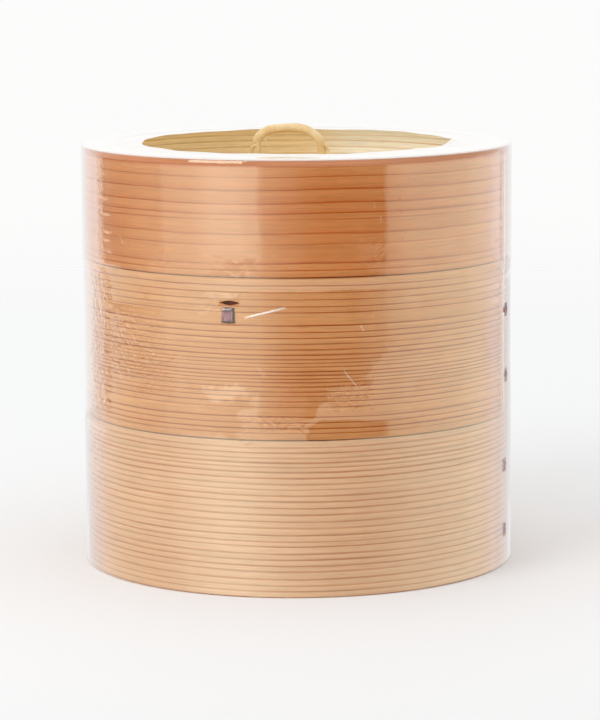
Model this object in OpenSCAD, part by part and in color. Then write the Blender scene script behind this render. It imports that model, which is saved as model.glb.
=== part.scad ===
// Round cedar steamer: two nesting tiers and a lid of bent wood hoops, with slat floors,
// a woven bamboo top and a cane handle, wrapped in a clear shrink sleeve.
// Z is up, the origin is the centre of the base, and the front faces -Y.
// Azimuths are measured from the front, positive towards +X.

/* [Hoops] */
// Outer diameter of every bent wood hoop
hoop_d = 178.5; // [150:0.5:240]
// Wall of an outer hoop, a board wound twice
outer_t = 4.2; // [3:0.1:6]
// Wall of an inner hoop
inner_t = 3.6; // [2.5:0.1:5]
// Height of the lower tier
lower_h = 63.4; // [50:0.1:90]
// Height of the upper tier
upper_h = 65; // [50:0.5:90]
// Height of the lid
lid_h = 46.8; // [40:0.1:60]
// Height by which a tier's inner hoop stands proud, to locate the piece above
spigot_h = 5.5; // [3:0.5:8]
// Radial clearance between a spigot and the hoop around it
spigot_gap = 0.4; // [0.3:0.05:0.8]
// Small chamfer on the edges of the hoops
edge = 0.35; // [0.2:0.05:0.6]

/* [Floors] */
// Slats in each floor
slat_count = 14; // [10:1:14]
// Width of a slat
slat_w = 9.2; // [6:0.1:10]
// Thickness of a slat
slat_t = 2.2; // [1.5:0.1:3]
// Distance from one slat to the next
slat_pitch = 11.6; // [11.5:0.05:11.8]
// Width of the bars under the slats
bar_w = 7; // [5:0.5:10]
// Depth of the bars under the slats
bar_t = 5.5; // [4:0.5:7]
// Distance of each bar from the centre
bar_offset = 32; // [24:1:40]
// Depth of the ledge hoop that carries a floor
ledge_h = 9.5; // [8:0.5:14]

/* [Lid] */
// Depth from the lid's rim to the edge of its woven top
recess = 16; // [13:0.5:20]
// Rise of the woven top towards its centre
dome_rise = 3; // [1:0.5:6]
// Thickness of each of the two woven layers
weave_t = 1.1; // [0.8:0.1:1.6]
// Distance of the lid's inner hoop below the rim
lining_drop = 1; // [0.5:0.5:3]
// Width of the two battens that grip the woven top
batten_w = 9; // [6:0.5:14]
// Thickness of the battens
batten_t = 2.4; // [1.6:0.2:4]
// Length of the battens
batten_l = 72; // [50:2:100]

/* [Handle] */
// Diameter of the cane
cane_d = 3.8; // [3:0.1:6]
// Outer width of the cane loop
loop_w = 31; // [24:0.5:44]
// Height of the loop above the lid's rim
loop_above_rim = 7.8; // [4:0.1:14]
// Offset of the loop from the lid's centre
loop_x = -3; // [-8:0.5:8]

/* [Bark stitches] */
// Width of a stitch along the hoop
stitch_w = 5; // [3:0.5:8]
// Height of a lap stitch
lap_stitch_h = 4.6; // [3:0.2:8]
// Height of a rim stitch
rim_stitch_h = 5.6; // [3:0.2:8]
// Height by which a stitch stands proud of the hoop
bark_proud = 0.3; // [0.2:0.05:0.5]

/* [Shrink sleeve] */
// Thickness of the clear film
film_t = 0.15; // [0.1:0.05:0.3]
// Radius of the open centre in the top of the sleeve
film_hole_r = 65; // [50:1:78]
// Clearance between the film and the stitches, the rim or the table
film_gap = 0.3; // [0.2:0.05:0.6]

/* [Hidden] */
$fn = 96;
TIERS = ["upper", "lower"];

wood = "#c98f5f";
pale_wood = "#dcb583";
bamboo = "#e3c78f";
cane = "#ecd09a";
bark = "#5d4138";
clear = [0.9, 0.95, 1, 0.25];

// Radii shared by all the hoops
hoop_r = hoop_d / 2;
joint_r = hoop_r - outer_t;
inside_r = joint_r - inner_t;

// Heights of the joints between the three pieces
lower_z = 0;
upper_z = lower_h;
lid_z = lower_h + upper_h;
rim_z = lid_z + lid_h;

// Heights within a tier
ledge_z = spigot_h + 2;
slat_z = ledge_z + ledge_h;
slat_half_span = (slat_count - 1) / 2;

// Height of the woven dome above its edge, at radius r
function dome_arc_r() = (inside_r * inside_r + dome_rise * dome_rise) / (2 * dome_rise);
function dome_height(r) = sqrt(dome_arc_r() * dome_arc_r() - r * r) - dome_arc_r() + dome_rise;

// Heights within the lid
weave_z = rim_z - recess - weave_t;
batten_half = batten_l / 2;
batten_gap = 0.2;
batten_top_z = weave_z + weave_t + dome_rise + batten_t;

// Loop of the handle
loop_r = (loop_w - cane_d) / 2;
loop_centre_z = rim_z + loop_above_rim - cane_d / 2 - loop_r;
under_batten_z = weave_z - weave_t + dome_height(batten_half) - batten_gap - batten_t;
leg_foot = 1.5;
leg_end_z = under_batten_z - leg_foot;

tie_wall = 1.2;
tie_d = cane_d + 2 * tie_wall;
tie_h = 2.6;

// Stitches: azimuths, and distances of their centres below a piece's top edge
lid_lap_az = 88;
upper_lap_az = 74.5;
lower_lap_az = 73;
lid_lap_drops = [14.3, 35.3];
tier_lap_drops = [21.2, 48.6];
upper_rim_az = -17.8;
lower_rim_az = 168;
lid_rim_az = 108;
tier_rim_drop = 15;
lid_rim_drop = 8.5;
leg_t = 0.8;
hole_slack = 0.2;
floor_slack = 0.2;
skin = 0.01;

// Distance by which a cut runs past the faces it opens
over = 1;

// The open slit above each rim stitch
slit_w = 7;
slit_h = 2;
slit_lift = 5;
slit_depth = 3;

sleeve_r = hoop_r + bark_proud + film_gap;
sleeve_fold_r = 1.5;

// Turns its children from the front to an azimuth
module at_azimuth(az) {
    rotate([0, 0, az]) children();
}

// A plain ring with chamfered edges, from radius a to radius b
module ring(a, b, z0, z1) {
    translate([0, 0, z0])
        rotate_extrude($fn = 180)
            polygon([[a, edge], [a + edge, 0], [b - edge, 0], [b, edge],
                     [b, z1 - z0 - edge], [b - edge, z1 - z0], [a + edge, z1 - z0], [a, z1 - z0 - edge]]);
}

// The strip's two legs, which pass the wall at the stitch's upper and lower ends
module stitch_legs(centre_z, az, h, depth, slack) {
    for (side = [-1, 1])
        at_azimuth(az)
            translate([-(stitch_w + slack) / 2, -hoop_r - bark_proud / 2,
                       centre_z + side * (h - leg_t) / 2 - (leg_t + slack) / 2])
                cube([stitch_w + slack, depth + bark_proud / 2, leg_t + slack]);
}

// A patch of bark that follows the hoop, from radius r0 to radius r1
module stitch_face(centre_z, az, h, r0, r1) {
    sweep = 2 * asin(stitch_w / 2 / hoop_r);
    at_azimuth(az - 90 - sweep / 2)
        translate([0, 0, centre_z - h / 2])
            rotate_extrude(angle = sweep, $fn = 180)
                translate([r0, 0]) square([r1 - r0, h]);
}

// A short strip of cherry bark sewn through the lap of an outer hoop
module lap_stitch(centre_z, az) {
    color(bark) union() {
        stitch_face(centre_z, az, lap_stitch_h, hoop_r + skin, hoop_r + bark_proud);
        stitch_legs(centre_z, az, lap_stitch_h, outer_t - hole_slack, 0);
    }
}

// A strip that ties an outer hoop to the hoop inside it, and shows on both faces
module rim_stitch(centre_z, az) {
    color(bark) union() {
        stitch_face(centre_z, az, rim_stitch_h, hoop_r + skin, hoop_r + bark_proud);
        stitch_face(centre_z, az, rim_stitch_h, inside_r - bark_proud, inside_r - skin);
        stitch_legs(centre_z, az, rim_stitch_h, outer_t + inner_t + bark_proud / 2, 0);
    }
}

// A blind slot with round ends, left open above a rim stitch
module open_slit(centre_z, az) {
    at_azimuth(az)
        translate([0, -hoop_r, centre_z])
            rotate([-90, 0, 0])
                translate([0, 0, -slit_depth])
                    linear_extrude(slit_depth * 2)
                        union() {
                            square([slit_w - slit_h, slit_h], center = true);
                            for (side = [-1, 1])
                                translate([side * (slit_w - slit_h) / 2, 0]) circle(d = slit_h, $fn = 32);
                        }
}

// An outer hoop with the slits that its stitches pass
module outer_hoop(z0, h, lap_az, lap_drops, rim_az, rim_drop) {
    color(wood) difference() {
        ring(joint_r, hoop_r, z0, z0 + h);
        for (drop = lap_drops)
            stitch_legs(z0 + h - drop, lap_az, lap_stitch_h, outer_t + over, hole_slack);
        stitch_legs(z0 + h - rim_drop, rim_az, rim_stitch_h, outer_t + over, hole_slack);
        open_slit(z0 + h - rim_drop + slit_lift, rim_az);
    }
}

// ---- Tier ----

module tier_outer_hoop(z0, h, lap_az, rim_az) {
    outer_hoop(z0, h, lap_az, tier_lap_drops, rim_az, tier_rim_drop);
}

// The lining of a tier, which stands above the outer hoop as a spigot
module tier_inner_hoop(z0, h, rim_az) {
    bottom = slat_z + slat_t;
    top = h + spigot_h;
    color(pale_wood) difference() {
        translate([0, 0, z0])
            rotate_extrude($fn = 180)
                polygon([[inside_r, bottom], [joint_r, bottom], [joint_r, h - edge * 2],
                         [joint_r - spigot_gap, h - edge], [joint_r - spigot_gap, top - edge * 2],
                         [joint_r - spigot_gap - edge, top], [inside_r + edge, top], [inside_r, top - edge]]);
        stitch_legs(z0 + h - tier_rim_drop, rim_az, rim_stitch_h, outer_t + inner_t + 2 * over, hole_slack);
    }
}

// The short hoop under the floor, notched for the two bars
module tier_ledge_hoop(z0) {
    color(pale_wood) difference() {
        ring(inside_r, joint_r, z0 + ledge_z, z0 + slat_z);
        for (side = [-1, 1])
            translate([-hoop_r, side * bar_offset - (bar_w + hole_slack) / 2,
                       z0 + slat_z - bar_t - hole_slack / 2])
                cube([hoop_d, bar_w + hole_slack, bar_t + over]);
    }
}

// A bamboo bar across the tier, its ends cut to the hoop
module floor_bar(z0, side) {
    color(bamboo) intersection() {
        translate([-hoop_r, side * bar_offset - bar_w / 2, z0 + slat_z - bar_t])
            cube([hoop_d, bar_w, bar_t]);
        translate([0, 0, z0]) cylinder(r = joint_r - floor_slack, h = lower_h, $fn = 180);
    }
}

// A bamboo slat, held at its ends between the lining and the ledge hoop
module floor_slat(z0, number) {
    color(bamboo) intersection() {
        translate([(number - 1 - slat_half_span) * slat_pitch - slat_w / 2, -hoop_r, z0 + slat_z])
            cube([slat_w, hoop_d, slat_t]);
        translate([0, 0, z0]) cylinder(r = joint_r - floor_slack, h = lower_h, $fn = 180);
    }
}

// ---- Lid ----

module lid_outer_hoop() {
    outer_hoop(lid_z, lid_h, lid_lap_az, lid_lap_drops, lid_rim_az, lid_rim_drop);
}

module lid_lining_hoop() {
    color(pale_wood) difference() {
        ring(inside_r, joint_r, weave_z + weave_t, rim_z - lining_drop);
        stitch_legs(rim_z - lid_rim_drop, lid_rim_az, rim_stitch_h, outer_t + inner_t + 2 * over, hole_slack);
    }
}

module lid_seat_hoop() {
    color(pale_wood)
        ring(inside_r, joint_r, lid_z + ledge_z, weave_z - weave_t);
}

// A disc with a flat edge and a shallow dome
module domed_disc(z) {
    steps = 10;
    radii = [for (i = [0:steps]) inside_r * (1 - i / steps)];
    translate([0, 0, z])
        rotate_extrude($fn = 180)
            polygon(concat([[joint_r - hole_slack, 0], [joint_r - hole_slack, weave_t]],
                           [for (r = radii) [r, dome_height(r) + weave_t]],
                           [for (i = [steps:-1:0]) [radii[i], dome_height(radii[i])]]));
}

// Holes that the handle's legs pass in the woven top and the battens
module leg_holes() {
    for (side = [-1, 1])
        translate([loop_x + side * loop_r, 0, lid_z])
            cylinder(d = cane_d + hole_slack, h = lid_h, $fn = 48);
}

module lid_woven_top() {
    color(bamboo) difference() {
        domed_disc(weave_z);
        leg_holes();
    }
}

module lid_woven_lining() {
    color(pale_wood) difference() {
        domed_disc(weave_z - weave_t);
        leg_holes();
    }
}

// A flat bamboo batten that grips the weave under the handle
module batten(z) {
    color(bamboo) difference() {
        translate([loop_x - batten_half, -batten_w / 2, z])
            cube([batten_l, batten_w, batten_t]);
        leg_holes();
    }
}

module lid_top_batten() {
    batten(batten_top_z - batten_t);
}

module lid_under_batten() {
    batten(under_batten_z);
}

// A bent cane: an arch and two legs that pass the lid
module lid_handle() {
    color(cane) union() {
        translate([loop_x, 0, loop_centre_z])
            rotate([90, 0, 0])
                rotate_extrude(angle = 180, $fn = 72)
                    translate([loop_r, 0]) circle(d = cane_d, $fn = 32);
        for (side = [-1, 1])
            translate([loop_x + side * loop_r, 0, leg_end_z])
                cylinder(d = cane_d, h = loop_centre_z - leg_end_z, $fn = 32);
    }
}

// A split-cane lashing around a leg, just above the batten
module handle_tie(side) {
    color(cane)
        translate([loop_x + side * loop_r, 0, batten_top_z])
            difference() {
                cylinder(d = tie_d, h = tie_h, $fn = 48);
                translate([0, 0, -over]) cylinder(d = cane_d + hole_slack, h = tie_h + 2 * over, $fn = 48);
            }
}

// ---- Shrink sleeve ----

// A clear tube around the whole stack, folded over the rim and open in the middle
module shrink_sleeve() {
    fold = [for (a = [0:15:90]) [cos(a), sin(a)]];
    corner_r = sleeve_r - sleeve_fold_r;
    corner_z = rim_z + film_gap - sleeve_fold_r;
    color(clear)
        rotate_extrude($fn = 180)
            polygon(concat([[sleeve_r, film_gap], [sleeve_r + film_t, film_gap]],
                           [for (p = fold) [corner_r, corner_z] + (sleeve_fold_r + film_t) * p],
                           [[film_hole_r, rim_z + film_gap + film_t], [film_hole_r, rim_z + film_gap]],
                           [for (i = [len(fold) - 1:-1:0]) [corner_r, corner_z] + sleeve_fold_r * fold[i]]));
}

// ---- Nodes ----

lid_outer_hoop();
lid_lining_hoop();
lid_seat_hoop();
lid_woven_top();
lid_woven_lining();
lid_top_batten();
lid_under_batten();
lid_handle();
handle_tie(-1);  // handle_tie_left
handle_tie(1);  // handle_tie_right
lap_stitch(rim_z - lid_lap_drops[0], lid_lap_az);  // lid_lap_stitch_high
lap_stitch(rim_z - lid_lap_drops[1], lid_lap_az);  // lid_lap_stitch_low
rim_stitch(rim_z - lid_rim_drop, lid_rim_az);  // lid_rim_stitch

tier_outer_hoop(upper_z, upper_h, upper_lap_az, upper_rim_az);  // upper_outer_hoop
tier_inner_hoop(upper_z, upper_h, upper_rim_az);  // upper_inner_hoop
tier_ledge_hoop(upper_z);  // upper_ledge_hoop
floor_bar(upper_z, -1);  // upper_bar_front
floor_bar(upper_z, 1);  // upper_bar_back
lap_stitch(lid_z - tier_lap_drops[0], upper_lap_az);  // upper_lap_stitch_high
lap_stitch(lid_z - tier_lap_drops[1], upper_lap_az);  // upper_lap_stitch_low
rim_stitch(lid_z - tier_rim_drop, upper_rim_az);  // upper_rim_stitch
for (i = [1:slat_count])
    floor_slat(upper_z, i);

tier_outer_hoop(lower_z, lower_h, lower_lap_az, lower_rim_az);  // lower_outer_hoop
tier_inner_hoop(lower_z, lower_h, lower_rim_az);  // lower_inner_hoop
tier_ledge_hoop(lower_z);  // lower_ledge_hoop
floor_bar(lower_z, -1);  // lower_bar_front
floor_bar(lower_z, 1);  // lower_bar_back
lap_stitch(upper_z - tier_lap_drops[0], lower_lap_az);  // lower_lap_stitch_high
lap_stitch(upper_z - tier_lap_drops[1], lower_lap_az);  // lower_lap_stitch_low
rim_stitch(upper_z - tier_rim_drop, lower_rim_az);  // lower_rim_stitch
for (i = [1:slat_count])
    floor_slat(lower_z, i);

shrink_sleeve();
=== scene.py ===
from math import acos, copysign, cos, degrees, exp, hypot, pi, radians, sin, sqrt

import bpy
import numpy as np
from mathutils import Matrix, Vector


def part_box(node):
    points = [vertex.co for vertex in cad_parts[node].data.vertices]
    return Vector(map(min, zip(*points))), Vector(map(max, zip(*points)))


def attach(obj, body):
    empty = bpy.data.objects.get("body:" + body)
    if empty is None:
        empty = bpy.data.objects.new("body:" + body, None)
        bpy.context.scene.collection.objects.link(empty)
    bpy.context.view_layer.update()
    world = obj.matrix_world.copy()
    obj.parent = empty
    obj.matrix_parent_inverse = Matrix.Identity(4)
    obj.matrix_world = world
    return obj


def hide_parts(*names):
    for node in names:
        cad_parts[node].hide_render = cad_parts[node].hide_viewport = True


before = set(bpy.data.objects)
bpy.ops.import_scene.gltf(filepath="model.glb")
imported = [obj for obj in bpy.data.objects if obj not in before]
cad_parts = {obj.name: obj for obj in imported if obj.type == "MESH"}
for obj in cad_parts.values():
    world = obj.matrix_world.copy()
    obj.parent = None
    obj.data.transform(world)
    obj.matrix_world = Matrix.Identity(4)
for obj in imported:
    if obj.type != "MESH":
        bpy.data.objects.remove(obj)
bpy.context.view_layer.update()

MM = 0.001

# ---- places, read from the frame


def reach_of(node, pick=max):
    """The largest, or with pick=min the smallest, distance of a CAD node's points from the axis."""
    return pick(hypot(v.co.x, v.co.y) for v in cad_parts[node].data.vertices)


HOOP_R = reach_of("lower_outer_hoop")  # outer face of every outer hoop
JOINT_R = reach_of("lower_outer_hoop", min)  # where the outer and inner hoops meet
INSIDE_R = reach_of("lower_ledge_hoop", min)  # inner face of every inner hoop
INNER_T = JOINT_R - INSIDE_R - 0.02 * MM
FILM_R = reach_of("shrink_sleeve")
FILM_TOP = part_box("shrink_sleeve")[1].z
SEAM_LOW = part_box("upper_outer_hoop")[0].z  # joint between the two tiers
SEAM_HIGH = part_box("lid_outer_hoop")[0].z  # joint between the upper tier and the lid
RIM_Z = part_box("lid_outer_hoop")[1].z
FLOOR_R = reach_of("lower_slat_7")  # the ends of the slats and bars

# Widths in mm of the cedar's growth rings, from a hoop's top edge down
LID_RINGS = [2.5, 4.5, 5.3, 5.5, 4.2, 2.0, 6.0, 4.0, 8.0, 2.4, 2.9]
UPPER_RINGS = [3.3, 2.7, 2.9, 2.7, 2.4, 5.4, 2.6, 2.4, 2.3, 2.3, 2.2, 1.8, 1.4, 1.5, 2.0, 1.5, 1.4, 1.4,
               1.8, 2.1, 1.8, 2.2, 2.2, 4.2, 2.3, 2.4, 1.8, 3.0]
LOWER_RINGS = [2.8, 2.1, 2.1, 1.9, 1.7, 2.1, 2.4, 2.4, 2.1, 2.6, 2.4, 2.6, 2.8, 2.8, 2.6, 2.9, 2.6, 1.9,
               3.1, 2.4, 2.5, 2.2, 3.2, 2.6, 2.2, 2.6]
LINING_RINGS = [2.6, 2.3, 2.7, 3.1, 2.5, 2.9, 2.4, 3.2, 2.6]


def lerp(a, b, t):
    return a + (b - a) * t


def smooth(t):
    t = np.clip(t, 0.0, 1.0)
    return t * t * (3 - 2 * t)


def window(value, low, high, edge):
    """1 between low and high, with soft edges."""
    return smooth((value - low) / edge + 0.5) * smooth((high - value) / edge + 0.5)


# ---- node trees


class Term:
    """A socket to calculate with: each sum, product and so on makes a Math node."""

    def __init__(self, nodes, socket):
        self.nodes, self.socket = nodes, socket

    def __rsub__(self, other):
        return self.nodes.math("SUBTRACT", other, self)


OPERATORS = {"add": "ADD", "sub": "SUBTRACT", "mul": "MULTIPLY", "truediv": "DIVIDE", "pow": "POWER"}
for method, name in OPERATORS.items():
    setattr(Term, f"__{method}__", lambda self, other, op=name: self.nodes.math(op, self, other))


class Nodes:
    """A material's or world's node tree, built with short calls. A value is a number, a tuple or a Term."""

    def __init__(self, owner):
        owner.use_nodes = True
        self.tree = owner.node_tree
        self.tree.nodes.clear()

    def node(self, kind, inputs=None, **props):
        node = self.tree.nodes.new("ShaderNode" + kind)
        for key, value in props.items():
            setattr(node, key, value)
        for key, value in (inputs or {}).items():
            if isinstance(value, Term):
                self.tree.links.new(value.socket, node.inputs[key])
            else:
                node.inputs[key].default_value = value
        return node

    def add(self, kind, inputs=None, output=0, **props):
        return Term(self, self.node(kind, inputs, **props).outputs[output])

    def math(self, op, a, b=0.0, clamp=False):
        return self.add("Math", {0: a, 1: b}, operation=op, use_clamp=clamp)

    def vector(self, op, a, b):
        return self.add("VectorMath", {0: a, 1: b}, operation=op)

    def mix(self, factor, a, b):
        return self.add("Mix", {0: factor, 6: a, 7: b}, output=2, data_type="RGBA")

    def blend(self, factor, a, b):
        """Mixes two shaders."""
        return self.add("MixShader", {0: factor, 1: a, 2: b})

    def span(self, value, a, b, c=0.0, d=1.0, kind="SMOOTHSTEP"):
        """value from a..b to c..d, held at the ends."""
        return self.add("MapRange", {0: value, 1: a, 2: b, 3: c, 4: d}, interpolation_type=kind)

    def noise(self, vector, scale, detail=2.0, rough=0.5, warp=0.0):
        return self.add("TexNoise", {"Vector": vector, "Scale": scale, "Detail": detail,
                                               "Roughness": rough, "Distortion": warp})

    def random(self, value):
        return self.add("TexWhiteNoise", {"W": value}, output="Value", noise_dimensions="1D")

    def position(self, stretch=(1.0, 1.0, 1.0), shift=(0.0, 0.0, 0.0)):
        """The point in the frame, in metres, stretched."""
        place = self.add("TexCoord", output="Object")
        return self.vector("ADD", self.vector("MULTIPLY", place, stretch), shift)

    def split(self, vector):
        return [Term(self, part) for part in self.node("SeparateXYZ", {0: vector}).outputs]

    def uv(self):
        return self.split(self.add("UVMap", uv_map="grain"))[:2]

    def combine(self, x, y, z=0.0):
        return self.add("CombineXYZ", {0: x, 1: y, 2: z})

    def bump(self, height, distance, strength=1.0):
        return self.add("Bump", {"Height": height, "Distance": distance, "Strength": strength})

    def surface(self, shader):
        self.node("OutputMaterial", {"Surface": shader})

    def natural(self, tone, fibre, rough, specular, height, relief, more=None):
        """The surface of wood, cane or bark. Its roughness follows the fibres, between the values of rough;
        relief is the bump's distance and strength."""
        self.surface(self.add("BsdfPrincipled", {
            "Base Color": tone, "Roughness": self.span(fibre, 0.2, 0.8, *rough, "LINEAR"),
            "Specular IOR Level": specular, "Normal": self.bump(height, *relief), **(more or {})}))


def material(name):
    made = bpy.data.materials.new(name)
    return made, Nodes(made)


def shade(colour, factor=1.0):
    """A colour made darker or lighter, with an alpha."""
    return (*[c * factor for c in colour], 1)


# ---- materials


def cedar(name, early, late, warm, seed, line, tail, contrast, dark_top=0.0, painted_light_side=None):
    """Planed cedar with growth lines along the hoop. The grain UV holds the ring width in mm, below zero in a
    slit, and the ring phase. A slit's inside is painted dark as shade, and a pale side colour, where given, is
    painted light on the wood's right half."""
    made, n = material(name)
    width, phase = n.uv()
    slit = n.math("LESS_THAN", width, 0.0)
    width = n.math("ABSOLUTE", width)
    wander = n.noise(n.position((1.0, 1.0, 2.2), (seed, 0, 0)), 14.0) - 0.5
    flutter = n.noise(n.position((1.0, 1.0, 4.0), (0, seed, 0)), 70.0) - 0.5
    phase = phase + wander * 0.34 + flutter * 0.10
    ring, part = n.math("FLOOR", phase), n.math("FRACT", phase)
    chance, chance_b = n.random(ring + seed), n.random(ring + (seed + 31.7))

    # Latewood: a dark line at the end of each ring, after a slow approach from above
    along = n.noise(n.position((1.0, 1.0, 9.0), (seed, seed, 0)), 26.0, 3.0, 0.6)
    breadth = (chance * 0.5 + along * 0.6 + 0.6) * line
    core = n.span((1.0 - part) * width / breadth, 0.35, 1.0, 1.0, 0.0)
    trail = n.span(part * width, 0.0, 0.14, 1.0, 0.0)
    approach = part ** 2.6 * ((chance_b + 0.25) * tail)
    vigour = n.span(along, 0.25, 0.7, 0.65, 1.0) * (chance_b * 0.45 + 0.62)
    dark = n.math("MULTIPLY", n.math("MAXIMUM", core, trail) * vigour, contrast, clamp=True)

    # Streaks and fine fibres, drawn out along the hoop, and broad patches of warmer wood
    streak = n.noise(n.position((9.0, 9.0, 330.0), (seed, 0, 0)), 1.5, 3.0, 0.6)
    fibre = n.noise(n.position((16.0, 16.0, 900.0), (seed, 0, 0)), 1.6, 4.0, 0.65)
    pore = n.noise(n.position((95.0, 95.0, 1900.0), (0, seed, 0)), 1.4, 3.0, 0.6)
    patch = n.noise(n.position((1.0, 1.0, 1.6), (seed, 4.0, 0)), 19.0, 3.0, 0.55)
    tone = n.mix(n.span(patch, 0.3, 0.72), shade(early), shade(warm))
    tone = n.mix(chance * 0.45, tone, shade(warm))
    tone = n.mix(n.span(streak, 0.50, 0.72, 0.0, 0.55), tone, shade(warm))
    # Painted light: the wood is taken towards a paler colour on its right half (+X), standing in for the key
    # light from the left on the inner walls
    if painted_light_side:
        tone = n.mix(n.span(n.split(n.position())[0], 0.0, 26 * MM), tone, shade(painted_light_side))
    if dark_top:
        tone = n.mix(n.span(phase, 1.05, 1.25, dark_top, 0.0), tone, shade(late))
    tone = n.mix(approach, tone, shade(late))
    tone = n.mix(dark, tone, shade(late, 0.8))
    light = n.span(fibre, 0.25, 0.75, 0.82, 1.12, "LINEAR") + n.span(pore, 0.3, 0.7, -0.09, 0.08, "LINEAR")
    tone = n.vector("MULTIPLY", tone, n.combine(light, light, light))
    tone = n.mix(n.span(pore, 0.66, 0.78, 0.0, 0.40), tone, shade(late, 0.75))
    # Painted shade: the inside of a slit is coloured nearly black-red, standing in for the shade in the cut
    tone = n.mix(slit, tone, (0.140, 0.026, 0.010, 1))
    n.natural(tone, fibre, (0.50, 0.68), 0.14, dark * 0.35 + fibre * 0.7, (0.10 * MM, 0.5))
    return made


def bamboo(name, pale, deep, seed, rind):
    """Split bamboo. The grain UV holds the place along the strip, 1 apart for each strip, and across it, in
    metres."""
    made, n = material(name)
    along, across = n.uv()
    strip = n.math("FLOOR", along + 0.5)
    chance, chance_b = n.random(strip + seed), n.random(strip + (seed + 7.3))
    place = n.combine(along * 60.0, across * 5200.0, chance * 40.0)
    fibre = n.noise(place, 0.6, 4.0, 0.6)
    vessel = n.noise(n.vector("MULTIPLY", place, (1.6, 2.2, 1.0)), 0.9, 2.0, 0.4)
    cloud = n.noise(n.position((1, 1, 1), (seed, 0, 0)), 60.0, 3.0, 0.6)
    tone = n.mix(chance * 0.55 + cloud * 0.35, shade(pale), shade(deep))
    tone = n.mix(n.span(fibre, 0.3, 0.75, 0.0, 0.35), tone, shade(deep, 0.66))
    tone = n.mix(n.span(vessel, 0.66, 0.76, 0.0, 0.55), tone, shade(deep, 0.42))
    tone = n.mix(chance_b * rind, tone, (0.46, 0.42, 0.20, 1))
    n.natural(tone, fibre, (0.36, 0.56), 0.45, fibre * 0.8 + vessel * -0.5, (0.10 * MM, 0.55))
    return made


def cane(name, pale, deep, seed):
    """Peeled cane: smooth, with short pores. The grain UV runs along in metres and around in turns."""
    made, n = material(name)
    along, around = n.uv()
    place = n.combine(along * 420.0, around * 34.0, seed)
    fibre = n.noise(place, 0.35, 4.0, 0.62)
    pore = n.noise(n.vector("MULTIPLY", place, (0.5, 2.4, 1.0)), 0.8, 2.0, 0.4)
    cloud = n.noise(n.position((1, 1, 1), (seed, 0, 0)), 150.0, 3.0, 0.6)
    tone = n.mix(n.span(cloud, 0.3, 0.75), shade(pale), shade(deep))
    tone = n.mix(n.span(fibre, 0.35, 0.8, 0.0, 0.45), tone, shade(deep, 0.7))
    tone = n.mix(n.span(pore, 0.68, 0.78, 0.0, 0.5), tone, shade(deep, 0.4))
    n.natural(tone, fibre, (0.34, 0.52), 0.5, fibre + pore, (0.08 * MM, 0.5),
              {"Subsurface Weight": 0.12, "Subsurface Radius": (0.8, 0.5, 0.25), "Subsurface Scale": 1 * MM})
    return made


def cherry_bark(name):
    """A strip of cherry bark: mauve-brown, with fine ribs, painted highlights on its gathered top, a painted
    shadow along its right edge, and ends darker where they fold into the slits, partly from the folds and partly
    painted shade.
    The grain UV holds the height from the strip's middle and the place across it, in metres."""
    made, n = material(name)
    along, across = n.uv()
    rib = n.noise(n.combine(across * 4200.0, along * 420.0, 3.0), 0.75, 3.0, 0.6)
    blotch = n.noise(n.position((1, 1, 1), (5.0, 0, 0)), 520.0, 4.0, 0.6)
    tone = n.mix(n.span(rib, 0.36, 0.64), (0.130, 0.045, 0.048, 1), (0.400, 0.190, 0.215, 1))
    tone = n.mix(n.span(blotch, 0.50, 0.72, 0.0, 0.65), tone, (0.150, 0.052, 0.046, 1))
    head = n.span(along, 1.1 * MM, 1.7 * MM)
    foot = n.span(along, -2.5 * MM, -1.9 * MM, 1.0, 0.0)
    # Painted shadow along the strip's right edge, away from the light on the left; the two ends are darker where
    # they fold into the slits, partly the bark's folds and partly painted shade
    painted_shadow_and_folds = n.math("MAXIMUM", n.span(across, 1.75 * MM, 2.1 * MM), n.math("MAXIMUM", head, foot) * 0.7)
    tone = n.mix(painted_shadow_and_folds, tone, (0.028, 0.012, 0.011, 1))
    # Painted highlights: pale spots on the gathered top of the strip
    tone = n.mix(n.span(blotch, 0.54, 0.60) * head, tone, (0.75, 0.60, 0.68, 1))
    n.natural(tone, rib, (0.60, 0.40), 0.35, rib + blotch, (0.18 * MM, 0.8))
    return made


def clear_film(name):
    """Clear shrink film: two thin faces that mirror more and more as the view grazes them, finely wrinkled.
    The grain UV holds the haze, where it is gathered or creased, and the weight of its crinkles, below zero
    where the film clings to what it covers."""
    made, n = material(name)
    haze, crinkle = n.uv()
    ripple = n.noise(n.position((1.0, 1.0, 0.55)), 95.0, 3.0, 0.55, 0.4)
    swell = n.noise(n.position((1.0, 1.0, 1.0), (3.0, 0, 0)), 24.0)
    pucker = n.noise(n.position((1.0, 1.0, 1.35), (0, 7.0, 0)), 210.0, 2.5, 0.55, 1.6)
    height = ripple * 0.07 + swell * 0.36 + pucker * n.math("MAXIMUM", crinkle, 0.0) * 0.30
    bent = {"Normal": n.bump(height, 1 * MM)}

    # Schlick's share of mirrored light for one face, then for a sheet's two faces, then for a sheet or two
    graze = n.add("LayerWeight", {"Blend": 0.5, **bent}, output="Facing")
    face = graze ** 5.0 * 0.957 + 0.043
    both = face * 2.0 / (face + 1.0)
    mirror = 1.0 - (1.0 - both) ** n.span(graze, 0.53, 0.66, 1.25, 1.60)
    mirror = mirror * n.span(crinkle, -1.0, 0.0, 0.0, 1.0, "LINEAR")

    clear = n.add("BsdfTransparent", {"Color": (0.99, 0.99, 0.985, 1)})
    milky = n.add("BsdfDiffuse", {"Color": (0.95, 0.94, 0.925, 1), **bent})
    glow = n.add("BsdfTranslucent", {"Color": (0.98, 0.97, 0.96, 1), **bent})
    through = n.blend(haze, clear, n.blend(0.30, milky, glow))
    tint = n.mix(n.span(graze, 0.40, 0.66), (0.97, 1.09, 0.90, 1), (1, 1, 1, 1))
    gloss = n.add("BsdfAnisotropic", {"Color": tint, "Roughness": 0.03, **bent})
    n.surface(n.blend(mirror, through, gloss))
    made.surface_render_method = "BLENDED"
    return made


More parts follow.
